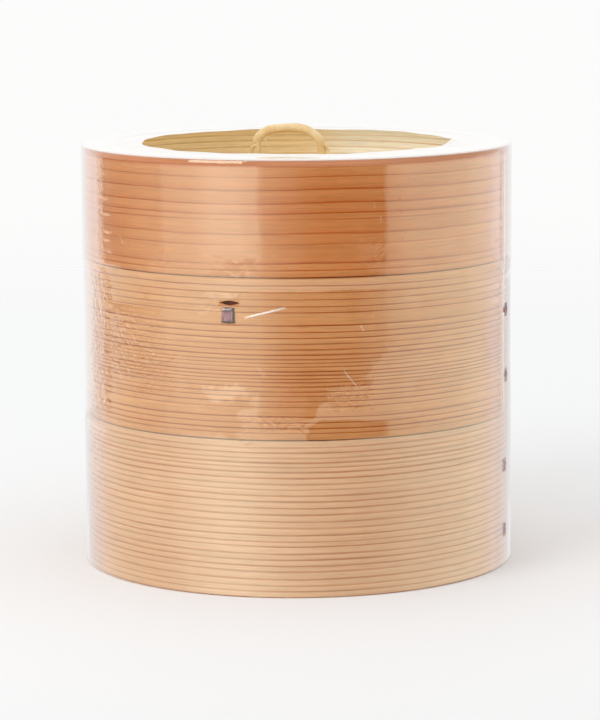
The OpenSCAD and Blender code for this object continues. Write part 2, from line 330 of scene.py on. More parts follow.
def paper_floor(name, reach):
    """A plain pale table top, darkened towards the front by painted shade, that fades into the pale background
    behind the object.
    """
    made, n = material(name)
    grain = n.noise(n.position(), 240.0, 3.0)
    y = n.split(n.position())[1]
    tone = n.mix(grain, (0.818, 0.825, 0.836, 1), (0.832, 0.839, 0.850, 1))
    # Painted shade: the table is darker towards the front
    tone = n.mix(n.span(y, reach * -0.28, reach * -0.06), (0.735, 0.740, 0.746, 1), tone)
    fade = n.span(y, reach * 0.15, reach * 0.9)
    paper = {"Base Color": tone, "Roughness": 0.75, "Specular IOR Level": 0.2}
    clear = n.add("BsdfTransparent", {"Color": (1, 1, 1, 1)})
    n.surface(n.blend(fade, n.add("BsdfPrincipled", paper), clear))
    return made


CEDAR_LID = cedar("cedar_lid", (0.655, 0.284, 0.098), (0.500, 0.096, 0.003), (0.580, 0.210, 0.060), 1.3,
                  line=0.52, tail=0.55, contrast=1.1, dark_top=0.55)
CEDAR_UPPER = cedar("cedar_upper", (0.665, 0.326, 0.128), (0.420, 0.072, 0.002), (0.595, 0.250, 0.082), 5.1,
                    line=0.44, tail=0.22, contrast=1.25)
CEDAR_LOWER = cedar("cedar_lower", (0.690, 0.405, 0.220), (0.510, 0.130, 0.010), (0.640, 0.340, 0.168), 8.7,
                    line=0.70, tail=0.22, contrast=0.95)
# The lining's right half is painted paler, as painted light from the key on the inner walls
CEDAR_LINING = cedar("cedar_lining", (0.970, 0.790, 0.470), (0.780, 0.480, 0.190), (0.940, 0.710, 0.390),
                     12.9, line=0.5, tail=0.25, contrast=0.7, painted_light_side=(0.99, 0.95, 0.80))
BAMBOO = bamboo("split_bamboo", (0.70, 0.50, 0.21), (0.56, 0.36, 0.12), 2.0, rind=0.12)
BAMBOO_WOVEN = bamboo("woven_bamboo", (0.72, 0.52, 0.22), (0.60, 0.38, 0.13), 9.0, rind=0.08)
CANE = cane("peeled_cane", (0.84, 0.68, 0.40), (0.72, 0.48, 0.20), 4.0)
BARK = cherry_bark("cherry_bark")
FILM = clear_film("clear_film")

# ---- mesh building


def link(name, data):
    made = bpy.data.objects.new(name, data)
    bpy.context.scene.collection.objects.link(made)
    return made


def build(node, points, faces, mat, uv, body, sharp=40.0):
    """Links a smooth mesh piece that stands for a CAD node. uv holds one pair for each point."""
    mesh = bpy.data.meshes.new(node + "_piece")
    mesh.from_pydata(np.asarray(points).tolist(), [], faces)
    mesh.materials.append(mat)
    corner = np.empty(len(mesh.loops), dtype=np.int32)
    mesh.loops.foreach_get("vertex_index", corner)
    uv = np.asarray(uv, dtype=np.float32)[corner]
    mesh.uv_layers.new(name="grain").data.foreach_set("uv", uv.ravel())
    mesh.shade_smooth()
    mesh.set_sharp_from_angle(angle=radians(sharp))
    piece = link(node + "_piece", mesh)
    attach(piece, body)
    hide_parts(node)


def lattice(rows, columns, wrap_rows=False, wrap_columns=False, capped=False):
    """Quads over a grid of points, numbered row by row. Capped: with a face over each end row."""
    faces = []
    for a in range(rows if wrap_rows else rows - 1):
        for c in range(columns if wrap_columns else columns - 1):
            first, second, d = a * columns, (a + 1) % rows * columns, (c + 1) % columns
            faces.append((first + c, first + d, second + d, second + c))
    if capped:
        faces.append(tuple(reversed(range(columns))))
        faces.append(tuple(range((rows - 1) * columns, rows * columns)))
    return faces


class Rows:
    """Rows of points with their UVs, which make one piece."""

    def __init__(self):
        self.points, self.uv = [], []

    def add(self, points, u, v):
        self.points.append(points)
        self.uv.append(np.stack(np.broadcast_arrays(u, v, points[:, 0])[:2], axis=-1))

    def build(self, node, mat, body, slot, sharp=40.0, **ends):
        """ends says how the rows and columns close, as for lattice."""
        faces = lattice(len(self.points), len(self.points[0]), wrap_columns=True, **ends)
        build(node, np.concatenate(self.points), faces, mat, np.concatenate(self.uv), body, sharp)


def fitted(widths, node):
    """Ring widths stretched a little, so that they fill a hoop's height."""
    lo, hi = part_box(node)
    share = (hi.z - lo.z) / MM / sum(widths)
    return [w * share for w in widths]


def ring_phase(widths, drop):
    """(ring width in mm, ring phase) at a distance in mm below the top edge."""
    knots = np.concatenate([[-2.0], np.cumsum(widths)])
    phases = np.arange(len(knots))
    sizes = np.diff(knots)
    at_knot = np.concatenate([[sizes[0]], (sizes[1:] + sizes[:-1]) / 2, [sizes[-1]]])
    return np.interp(drop, knots, at_knot), np.interp(drop, knots, phases)


def ring_rows(widths, height, extra=()):
    """Heights in mm below the top edge at which a hoop's face needs points, between its two edges."""
    rows = [d for d in np.cumsum(widths) if d < height - 0.5]
    rows += list(extra)
    rows = sorted(r for r in rows if 0.5 < r < height - 0.5)
    kept = []
    for r in rows:
        if not kept or r - kept[-1] > 0.12:
            kept.append(r)
    return kept


def spaced(values, gap):
    """The values in order, without those that follow the one before by less than the gap."""
    values = sorted(values)
    return [v for k, v in enumerate(values) if k == 0 or v - values[k - 1] > gap]


class Board:
    """The outline of a bent board's section: outer face, bottom, inner face and top."""

    def __init__(self, top, bottom, outer_rows, inner_rows):
        outer = [(1.0, 0.0, top - d * MM, 0.0) for d in outer_rows]
        inner = [(0.0, 0.0, top - d * MM, 0.0) for d in reversed(inner_rows)]
        arc = [(1 - cos(a), 1 - sin(a)) for a in (pi / 2 * k / 3 for k in range(4))]
        low_out = [(1.0, -p, bottom, q) for p, q in arc]
        low_in = [(0.0, q, bottom, p) for p, q in arc]
        top_in = [(0.0, p, top, -q) for p, q in arc]
        top_out = [(1.0, -q, top, -p) for p, q in arc]
        points = outer + low_out + low_in + inner + top_in + top_out
        self.depth, self.inset, self.z, self.rise = (np.array(c) for c in zip(*points))
        self.outer_count = len(outer)

    def place(self, inner_r, thick, edge):
        """Radius and height of each outline point where the board's inner face is at inner_r."""
        edge = min(edge, thick * 0.42)
        return inner_r + self.depth * thick + self.inset * edge, self.z + self.rise * edge


def circle_point(r, azimuth, z):
    """Azimuth is in degrees from the front, positive towards +X."""
    a = np.radians(azimuth)
    return np.stack([r * np.sin(a), -r * np.cos(a), z], axis=-1)


def wobble(azimuth, seed, size):
    """A smooth closed wave around a hoop."""
    a = np.radians(azimuth)
    waves = np.sin(2 * a + seed) + 0.6 * np.sin(3 * a + 2.3 * seed) + 0.3 * np.sin(7 * a + 1.1 * seed)
    return size * waves / 1.9


# ---- hoops


class Slit:
    """A lens-shaped cut in a hoop's outer face, at an azimuth and a height, all in metres and degrees."""

    def __init__(self, azimuth, z, width, height, depth):
        self.azimuth, self.z, self.width, self.height, self.depth = azimuth, z, width, height, depth

    def cut(self, degrees, z):
        """Depth of the cut at a place given in degrees from its middle and as a height."""
        along = np.radians(degrees) * HOOP_R / (self.width / 2)
        lens = self.height / 2 * np.clip(1 - np.abs(along) ** 1.7, 0.0, 1.0)
        inside = np.where(lens > 1e-6, 1 - np.abs(z - self.z) / np.maximum(lens, 1e-6), 0.0)
        return self.depth * smooth(inside / 0.42)


def wound_hoop(node, body, slot, mat, rings, lap_azimuth, slits, seed):
    """An outer hoop: one board wound twice, its two ends shaved thin and lapped."""
    lo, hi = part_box(node)
    top = hi.z
    seam = 0.33 * MM  # a line of shadow over the piece below
    bottom = lo.z + (seam if lo.z > 1 * MM else 0.0)
    height = (top - bottom) / MM
    rings = fitted(rings, node)
    lap = 32.0  # degrees of hoop over which an end is shaved
    tip = 0.15 * MM  # thickness left at a shaved end
    gap = 0.03 * MM  # air between the turns
    thick = (HOOP_R - JOINT_R - tip - 2 * gap) / 2
    start = lap_azimuth + 5.0 - lap
    end = start + 720 + lap
    ease = 3.0  # degrees over which a turn climbs on to an end

    dense = [(top - s.z) / MM + d for s in slits for d in np.arange(-1.6, 1.61, 0.2)]
    outline = Board(top, bottom, ring_rows(rings, height, dense), ring_rows([height / 4] * 3, height))
    turns = list(np.arange(start, end + 0.01, 2.0))
    places = []  # where the outermost turn passes each slit
    for s in slits:
        places.append(s.azimuth + 360 * ((end - s.azimuth) // 360))
        turns += [places[-1] + d for d in np.arange(-3.0, 3.01, 0.15)]
    turns = spaced([t for t in turns if start <= t <= end], 0.05)

    rows = Rows()
    for t in turns:
        under = t - start  # degrees from the board's inner end
        shave_in = lerp(tip, thick, min(1.0, under / lap))
        shave_out = lerp(thick, tip, max(0.0, (under - 720) / lap))
        climb = [np.clip((under - turn) / lap, 0.0, 1.0) for turn in (360, 720)]
        step = [smooth((under - turn + ease) / ease) for turn in (360, 720)]
        inner = JOINT_R + sum((gap + lerp(tip, thick, c)) * s for c, s in zip(climb, step))
        r, z = outline.place(inner, min(shave_in, shave_out), 0.35 * MM)
        face = slice(0, outline.outer_count)
        size, phase = ring_phase(rings, (top - z) / MM + wobble(t, seed, 0.25))
        for s, place in zip(slits, places):
            if abs(t - place) < 4:
                depth = s.cut(t - place, z[face])
                r[face] -= depth
                # The inside of a slit gets painted shade: the cedar colours it nearly black-red
                size[face] = np.where(depth > 0.3 * MM, -1.0, size[face])  # marks the inside of a slit
        rows.add(circle_point(r, t, z), size, phase)
    rows.build(node, mat, body, slot, capped=True)


def plain_hoop(node, body, slot, mat, rings, seed, spigot_top=None):
    """An inner hoop, a closed ring. Above spigot_top it is thinner, to enter the piece above."""
    lo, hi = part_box(node)
    top, bottom = hi.z, lo.z
    height = (top - bottom) / MM
    outer_rows = ring_rows([height / 4] * 3, height)
    if spigot_top is not None:
        step = (top - spigot_top) / MM
        outer_rows = sorted(outer_rows + [step - 0.2, step + 0.5, step + 0.9])
    outline = Board(top, bottom, outer_rows, ring_rows(rings, height))
    rows = Rows()
    for t in np.arange(0, 360, 2.5):
        r, z = outline.place(INSIDE_R, INNER_T, 0.5 * MM)
        if spigot_top is not None:
            above = smooth((z - spigot_top + 0.8 * MM) / (0.8 * MM))
            r = r - 0.45 * MM * above * (outline.depth > 0.5)
        rows.add(circle_point(r, t, z), *ring_phase(rings, (top - z) / MM + 0.25 * sin(radians(t) + seed)))
    rows.build(node, mat, body, slot, wrap_rows=True)


def notched_hoop(node, body, slot, mat, rings, bars, seed):
    """The short hoop under a floor, notched where the bars pass. bars holds each bar's two corners."""
    lo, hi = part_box(node)
    top, bottom = hi.z, lo.z
    height = (top - bottom) / MM
    outline = Board(top, bottom, ring_rows([height / 3] * 2, height), ring_rows(rings, height))
    slack = 0.1 * MM
    # (azimuth at the outer face, y or None, depth of the notch)
    columns = [(t, None, 0.0) for t in np.arange(0, 360, 2.5)]
    for bar_lo, bar_hi in bars:
        depth = top - bar_lo.z + slack
        for y, side in ((bar_lo.y - slack, 1), (bar_hi.y + slack, -1)):
            at = degrees(acos(np.clip(-y / JOINT_R, -1, 1)))
            for notch, nudge in ((0.0, 0.0), (depth, side * 0.01 * MM)):
                columns.append((at, y + nudge, notch))
                columns.append((360 - at, y + nudge, notch))
    skew = 2.6  # columns on a fixed y keep this many degrees to themselves
    set_y = [c for c in columns if c[1] is not None]
    inside = []
    for t in (c[0] for c in columns if c[1] is None and all(abs(c[0] - d[0]) > skew for d in set_y)):
        y = -JOINT_R * cos(radians(t))
        over = [top - bar_lo.z + slack for bar_lo, bar_hi in bars if bar_lo.y < y < bar_hi.y]
        inside.append((t, None, max(over, default=0.0)))
    middle = []
    for bar_lo, bar_hi in bars:
        y = (bar_lo.y + bar_hi.y) / 2
        at = degrees(acos(np.clip(-y / JOINT_R, -1, 1)))
        middle += [(at, y, top - bar_lo.z + slack), (360 - at, y, top - bar_lo.z + slack)]

    def order(c):
        y = c[1] if c[1] is not None else -JOINT_R * cos(radians(c[0]))
        return (0, y) if c[0] < 180 else (1, -y)

    rows = Rows()
    for t, y, notch in sorted(inside + set_y + middle, key=order):
        r, z = outline.place(INSIDE_R, INNER_T, 0.4 * MM)
        z = np.minimum(z, top - notch)
        at = np.full(len(r), float(t))
        if y is not None:
            at = np.degrees(np.arccos(np.clip(-y / r, -1, 1)))
            at = at if t < 180 else 360 - at
        rows.add(circle_point(r, at, z), *ring_phase(rings, (top - z) / MM + wobble(t, seed, 0.25)))
    rows.build(node, mat, body, slot, wrap_rows=True)


# ---- strips


def rounded(steps):
    """The outline of a flat strip's section with rounded corners, as (side, inset, face, drop). Inset and drop,
    in units of the corner's radius, are how far the point is in from the side and from the face. The inset is
    None for points along a face."""
    found = []
    for sx, sz in ((1, 1), (-1, 1), (-1, -1), (1, -1)):
        angles = np.linspace(0, pi / 2, steps)
        found += [(sx, 1 - cos(a), sz, 1 - sin(a)) for a in (angles if sx * sz > 0 else angles[::-1])]
        if sx * sz > 0:
            found += [(share * sx, None, sz, 0.0) for share in (0.5, 0.0, -0.5)]
    return found


def strap(path, normals, widths, thick, closed=False, index=0, edge=0.35, crown=0.0):
    """A strip of thick x width swept along a path, with rounded edges. Returns points, faces and UVs."""
    path, normals = np.asarray(path, float), np.asarray(normals, float)
    ahead = np.roll(path, -1, 0) - np.roll(path, 1, 0)
    if not closed:
        ahead[0], ahead[-1] = path[1] - path[0], path[-1] - path[-2]
    ahead /= np.linalg.norm(ahead, axis=1)[:, None]
    side = np.cross(ahead, normals)
    side /= np.linalg.norm(side, axis=1)[:, None]
    up = np.cross(side, ahead)
    widths = np.broadcast_to(np.asarray(widths, float), (len(path),))
    rim = edge * thick
    section = []  # across in half widths, inset in metres, height in metres
    for sx, inset, sz, drop in rounded(3):
        if inset is None:
            section.append((sx, 0.0, sz * (thick / 2 + crown * (1 - sx * sx))))
        else:
            section.append((sx, -sx * rim * inset, sz * (thick / 2 - rim * drop)))
    section = np.array(section)
    across = section[None, :, 0] * widths[:, None] / 2 + section[None, :, 1]
    points = path[:, None, :] + side[:, None, :] * across[..., None]
    points = points + up[:, None, :] * section[None, :, 2, None]
    steps = np.linalg.norm(np.diff(path, axis=0), axis=1)
    length = np.concatenate([[0.0], np.cumsum(steps)])
    length -= length[-1] / 2
    uv = np.stack([np.broadcast_to((length + index)[:, None], across.shape),
                   across + np.sign(section[None, :, 2]) * 0.013], axis=-1)
    faces = lattice(len(path), len(section), wrap_rows=closed, wrap_columns=True, capped=not closed)
    return points.reshape(-1, 3), faces, uv.reshape(-1, 2)


def joined(parts):
    """Several (points, faces, uv) as one."""
    points, faces, uv, first = [], [], [], 0
    for p, f, u in parts:
        points.append(p)
        uv.append(u)
        faces += [tuple(int(i) + first for i in face) for face in f]
        first += len(p)
    return np.concatenate(points), faces, np.concatenate(uv)


def tube(path, radius, squash=1.0, sides=16, around=0.0):
    """A round or flattened rod along a path, with domed ends. The frame is carried along without twisting."""
    path = np.asarray(path, float)
    radius = np.broadcast_to(np.asarray(radius, float), (len(path),))
    ahead = np.gradient(path, axis=0)
    ahead /= np.linalg.norm(ahead, axis=1)[:, None]
    up = np.cross(ahead[0], (0.0, 1.0, 0.03))
    ups = []
    for a in ahead:
        up = up - a * np.dot(up, a)
        up /= np.linalg.norm(up)
        ups.append(up.copy())
    ups = np.array(ups)
    beside = np.cross(ahead, ups)
    angles = np.linspace(0, 2 * pi, sides, endpoint=False)
    ring = ups[:, None, :] * np.cos(angles)[None, :, None]
    ring = ring + beside[:, None, :] * np.sin(angles)[None, :, None] * squash
    length = np.concatenate([[0.0], np.cumsum(np.linalg.norm(np.diff(path, axis=0), axis=1))])
    rows = [(path[k] + ring[k] * radius[k], length[k]) for k in range(len(path))]
    for end, way, where in ((0, -1, 0), (-1, 1, len(path) + 1)):
        dome = path[end] + way * ahead[end] * radius[end] * 0.5 + ring[end] * radius[end] * 0.45
        rows.insert(where, (dome, length[end]))
    points = np.concatenate([r for r, _ in rows])
    turns = np.minimum(angles, 2 * pi - angles) / pi + around
    uv = np.concatenate([np.stack([np.full(sides, at), turns], axis=-1) for _, at in rows])
    return points, lattice(len(rows), sides, wrap_columns=True, capped=True), uv


def spline(knots, steps):
    """A smooth path through the knots (Catmull-Rom)."""
    k = np.asarray(knots, float)
    k = np.concatenate([[2 * k[0] - k[1]], k, [2 * k[-1] - k[-2]]])
    out = []
    for i in range(1, len(k) - 2):
        for t in np.linspace(0, 1, steps, endpoint=False):
            a, b, c, d = k[i - 1], k[i], k[i + 1], k[i + 2]
            bend = (2 * a - 5 * b + 4 * c - d) * t ** 2 + (3 * b - a - 3 * c + d) * t ** 3
            out.append(0.5 * (2 * b + (c - a) * t + bend))
    out.append(k[-2])
    return np.array(out)


# ---- floors


def floor_strip(node, body, along_x, seed):
    """A bamboo slat or bar. Its ends follow the hoop, its edges are eased and it bows a little."""
    lo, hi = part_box(node)
    rng = np.random.default_rng(seed)
    width = (hi.y - lo.y) if along_x else (hi.x - lo.x)
    middle = ((hi.y + lo.y) if along_x else (hi.x + lo.x)) / 2
    thick = hi.z - lo.z
    rim = 0.5 * MM
    joint = rng.uniform(-0.06, 0.06)  # where the cane's node crosses the strip
    bow = rng.uniform(-0.12, 0.12) * MM
    section = [(sx * (width / 2 - rim * (inset or 0.0)), sz * (thick / 2 - rim * drop))
               for sx, inset, sz, drop in rounded(4)]
    points, uv = [], []
    stations = np.linspace(-1, 1, 57)
    for s in stations:
        row = []
        for a, h in section:
            across = middle + a
            reach = sqrt(FLOOR_R ** 2 - across ** 2) - 0.1 * MM
            along = s * reach
            ridge = exp(-((along - joint) / 0.0022) ** 2)
            eased = copysign(0.12 * MM, a) * (1 - ridge) * (abs(a) > width * 0.45)
            side = across + bow * (1 - s * s) * 0.5 - eased
            up = (hi.z + lo.z) / 2 + h - (0.16 * MM * (1 - ridge) if h > 0 else 0.0)
            row.append((along, side, up) if along_x else (side, along, up))
            uv.append((along + seed % 97, a + copysign(0.02, h)))
        points += row
    faces = lattice(len(stations), len(section), wrap_columns=True, capped=True)
    if not along_x:
        faces = [tuple(reversed(f)) for f in faces]
    build(node, points, faces, BAMBOO, uv, body)


# ---- woven top


def woven_disc(node, strips, twill, turn, seed):
    """A disc of strips woven over and under each other, on the dome of the CAD node."""
    lo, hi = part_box(node)
    rng = np.random.default_rng(seed)
    reach = reach_of(node) - 0.3 * MM
    thick = 0.42 * MM
    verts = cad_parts[node].data.vertices
    rim_top = max(v.co.z for v in verts if hypot(v.co.x, v.co.y) > reach - 1 * MM)
    rise = hi.z - rim_top
    mid = (rim_top + lo.z) / 2
    dome_r = (INSIDE_R ** 2 + rise ** 2) / (2 * rise)
    pitch = 2 * reach / strips
    swing = 0.30 * MM

    def dome(r):
        return sqrt(dome_r ** 2 - min(r, INSIDE_R) ** 2) - dome_r + rise

    c, q = cos(turn), sin(turn)
    turned = np.array([[c, -q, 0], [q, c, 0], [0, 0, 1]]).T
    parts = []
    for way in (0, 1):
        for k in range(strips):
            off = (k - (strips - 1) / 2) * pitch + rng.normal(0, 0.04) * MM
            half = sqrt(max(reach ** 2 - (abs(off) + pitch * 0.35) ** 2, 0.0))
            if half < 4 * MM:
                continue
            count = max(6, int(2 * half / (pitch / 6)))
            path, normals = [], []
            for s in np.linspace(-half, half, count):
                cell = s / pitch + strips / 2
                if twill:
                    wave = sin((cell - 0.5 + (k if way else -k) + way) * pi / 2 + 0.785)
                    wave = np.clip(wave * 1.5, -1, 1)
                else:
                    wave = sin((cell + k + way) * pi)
                x, y = (s, off) if way else (off, s)
                path.append((x, y, mid + dome(hypot(x, y)) + swing * wave))
                normals.append((x / dome_r, y / dome_r, 1.0))
            width = pitch * 0.93 * (1 + rng.normal(0, 0.012))
            parts.append(strap(np.array(path) @ turned, np.array(normals) @ turned, width, thick,
                               index=len(parts) + 1, crown=0.05 * MM))
    points, faces, uv = joined(parts)
    points[:, 2] = np.clip(points[:, 2], lo.z, hi.z)
    build(node, points, faces, BAMBOO_WOVEN, uv, "lid")


def batten(node, seed):
    lo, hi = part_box(node)
    thick, width = hi.z - lo.z, hi.y - lo.y
    mid = (lo.z + hi.z) / 2
    xs = np.linspace(lo.x, hi.x, 41)
    ends = np.minimum(xs - lo.x, hi.x - xs)
    widths = width * (0.80 + 0.20 * np.sqrt(np.clip(ends / (4 * MM), 0, 1)))
    path = [(x, 0.0, mid) for x in xs]
    points, faces, uv = strap(path, [(0, 0, 1)] * len(xs), widths, thick, index=seed, edge=0.30)
    build(node, points, faces, BAMBOO, uv, "lid")


# ---- bark stitches


def bark_stitch(node, body, azimuth, seed, through=False):
    """A strip of cherry bark over a hoop's face, its ends in the slits. Through: it comes back inside."""
    lo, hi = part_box(node)
    rng = np.random.default_rng(seed)
    mid, half = (lo.z + hi.z) / 2, (hi.z - lo.z) / 2
    thick = 0.24 * MM
    out = HOOP_R + 0.15 * MM
    tuck = half * 0.93  # how far from the middle its ends go into the wood
    deep = 1.3 * MM

    def drawn_in(s):
        """How far, from 0 to 1, the strip dips towards its slit at s, from -1 to 1 along it."""
        return max(0.0, abs(s) - 0.86) / 0.14

    path = [(HOOP_R - deep, mid - tuck)]
    for s in np.linspace(-1, 1, 31):
        fold = 0.07 * smooth((s - 0.45) / 0.1) * sin(s * 38)
        bulge = (0.03 if through else 0.22) * cos(s * pi / 2) + fold
        path.append((out - 0.5 * MM * drawn_in(s) ** 2 + bulge * MM, mid + s * half * 0.97))
    path.append((HOOP_R - deep, mid + tuck))
    if through:
        path.append((INSIDE_R + deep, mid + tuck))
        for s in np.linspace(1, -1, 13):
            path.append((INSIDE_R - 0.14 * MM + 0.5 * MM * drawn_in(s) ** 2, mid + s * half * 0.97))
        path.append((INSIDE_R + deep, mid - tuck))
    path = np.array(path)
    a = radians(azimuth)
    out_dir = np.array([sin(a), -cos(a), 0.0])
    side_dir = np.array([cos(a), sin(a), 0.0])
    line = path[:, 0, None] * out_dir + path[:, 1, None] * np.array([0, 0, 1.0])
    normals = np.cross(side_dir[None, :], np.gradient(line, axis=0))
    foot = np.exp(-(((path[:, 1] - mid + half * 0.93) / (0.45 * MM)) ** 2)) * (path[:, 0] > HOOP_R - 0.5 * MM)
    uneven = 0.05 * np.sin(np.linspace(0, 9, len(path)) + seed) + rng.normal(0, 0.01, len(path))
    widths = (5.2 + 1.1 * foot) * MM * (1 + uneven)
    points, faces, _ = strap(line, normals, widths, thick, closed=through)
    # The flat section is wrapped on the hoop's curve
    across = points @ side_dir
    uv = np.stack([points[:, 2] - mid, across], axis=-1)
    along = points @ out_dir
    points = points + (np.sqrt(np.maximum(along ** 2 - across ** 2, 0)) - along)[:, None] * out_dir
    build(node, points, faces, BARK, uv, body)


# ---- handle


def handle():
    """A bent cane with a kink on the left, where it was sharply bent, and a smooth bend on the right."""
    lo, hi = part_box("lid_handle")
    tip = hi.z / MM
    left, right, foot = lo.x / MM + 1.9, hi.x / MM - 1.9, lo.z / MM + 0.9
    # To the right of the left leg, and below the tip
    bend = ((0.05, 12), (0.45, 8.4), (0.15, 6.9), (2.2, 4.5), (6.2, 2.6), (14.1, 1.9), (19.5, 2.4),
            (22.7, 3.8), (25.3, 5.9), (26.8, 8.3))
    knots = [(left, foot), (left, foot + 8)] + [(left + x, tip - drop) for x, drop in bend]
    knots += [(right + 0.1, tip - 12), (right, foot + 8), (right, foot)]
    path = spline([(x * MM, 0.0, z * MM) for x, z in knots], 8)
    steps = np.linspace(0, 1, len(path))
    path[:, 1] += 0.25 * MM * np.sin(steps * 7.0)
    radius = 1.85 * MM * (1 + 0.018 * np.sin(steps * 37) + 0.014 * np.sin(steps * 83 + 1))
    pinch = np.exp(-(((path[:, 2] / MM - tip + 8.6) / 1.6) ** 2)) * (steps < 0.5)
    radius = radius * (1 - 0.27 * pinch)
    # A fibre that has lifted off the inner side of the bend
    peel = spline([((left + x) * MM, y * MM, (tip - drop) * MM) for x, y, drop in
                   ((3.0, -0.9, 6.6), (4.2, -1.2, 7.6), (4.9, -1.3, 9.2), (4.7, -1.2, 10.4))], 6)
    points, faces, uv = joined([tube(path, radius, squash=0.96, sides=20),
                                tube(peel, 0.16 * MM, squash=0.7, sides=6, around=3.0)])
    build("lid_handle", points, faces, CANE, uv, "lid")


def handle_tie(node, side):
    """A thin split cane wound round a leg of the handle, with its end curling up beside it."""
    lo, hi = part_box(node)
    x = (lo.x + hi.x) / 2
    foot = lo.z
    rod = 0.5 * MM
    steps, count = 14, 36  # knots in a turn, and in the whole winding after the first
    reach = (hi.x - lo.x) / 2 - rod - 0.1 * MM
    knots = []
    for k in range(count + 1):
        a = 2 * pi * k / steps + (0 if side > 0 else pi)
        climb = foot + rod + (hi.z - foot - 2 * rod) * min(1.0, k / (2.6 * steps))
        knots.append((x + reach * cos(a), reach * sin(a), climb))
    for out, back, up in ((1.0, 0.7, 1.5), (1.15, 0.5, 3.6), (0.85, 0.6, 5.6), (0.35, 0.8, 6.8)):
        knots.append((x + side * reach * out, -reach * back, hi.z + up * MM))
    path = spline(knots, 3)
    points, faces, uv = tube(path, rod, squash=0.8, sides=10, around=side * 5.0)
    build(node, points, faces, CANE, uv, "lid")


# ---- shrink film


class Crease:
    """A sharp line where the film stands off the wood, between two (azimuth, height in mm) places."""

    def __init__(self, start, end, lift, width, haze=0.5):
        self.a, self.b = np.array(start, float), np.array(end, float)
        self.lift, self.width, self.haze = lift, width, haze

    def ridge(self, azimuth, z):
        """From 0 beside the crease to 1 on its line."""
        scale = pi / 180 * FILM_R / MM
        px, pz = azimuth * scale, z / MM
        ax, az = self.a[0] * scale, self.a[1]
        dx, dz = self.b[0] * scale - ax, self.b[1] - az
        size = dx * dx + dz * dz
        along = ((px - ax) * dx + (pz - az) * dz) / size
        off = ((px - ax) * dz - (pz - az) * dx) / sqrt(size)
        fade = np.sqrt(np.clip(along * (1 - along) * 4, 0, 1))
        return fade * np.clip(1 - np.abs(off) / self.width, 0, 1)


MM_PER_DEGREE = 1.57  # along the film, around the stack
# Where each crease starts and ends, how far it stands off and half its width, in mm, and its haze
CREASES = [
    Crease((-13.4, 112.6), (-2.8, 117.0), 0.34, 0.50, 1.0),
    Crease((11.4, 92.7), (16.9, 81.2), 0.10, 0.35, 0.30),
    Crease((16.2, 109.6), (17.2, 106.9), 0.14, 0.35, 0.4),
    Crease((18.6, 168.6), (18.8, 165.4), 0.05, 0.22, 0.16),
    Crease((19.9, 158.6), (20.0, 155.6), 0.05, 0.22, 0.20),
    Crease((21.6, 152.8), (21.7, 149.9), 0.05, 0.24, 0.26),
    Crease((26.8, 165.2), (27.0, 163.4), 0.08, 0.35, 0.0),
    Crease((27.2, 159.6), (27.3, 158.0), 0.08, 0.35, 0.0),
    Crease((27.4, 154.2), (27.9, 151.2), 0.10, 0.35, 0.2),
    Crease((28.0, 143.6), (28.1, 142.2), 0.08, 0.35, 0.0),
]
# Gathered patches: (azimuth, half width in mm, lowest and highest place in mm, strength)
CRINKLES = [(-46.0, 15.0, 84.0, 112.0, 2.0), (-38.0, 10.0, 78.0, 98.0, 1.2), (-66.0, 10.0, 66.0, 126.0, 2.0),
            (-63.0, 4.0, 130.0, 174.0, 1.0), (-70.0, 12.0, 20.0, 60.0, 0.9), (14.0, 7.0, 74.0, 86.0, 1.0),
            (70.0, 3.0, 66.0, 172.0, 2.0), (66.0, 6.0, 124.0, 131.0, 1.2), (-30.0, 14.0, 131.0, 139.0, 0.6),
            (-6.0, 12.0, 66.0, 74.0, 0.5)]

# Places where the film clings and hardly mirrors: the slit and the bark in front, and the six lap stitches
CLINGS = [(-17.5, 4.3, 117.3, 119.6, 0.9), (-17.8, 2.9, 109.6, 116.6, 0.5), (74.5, 2.6, 104.4, 110.0, 0.7),
          (74.5, 2.6, 77.0, 82.6, 0.7), (73.0, 2.6, 39.4, 45.0, 0.7), (73.0, 2.6, 12.0, 17.6, 0.7),
          (88.0, 3.4, 157.9, 163.9, 0.9), (88.0, 3.4, 136.9, 142.9, 0.9)]


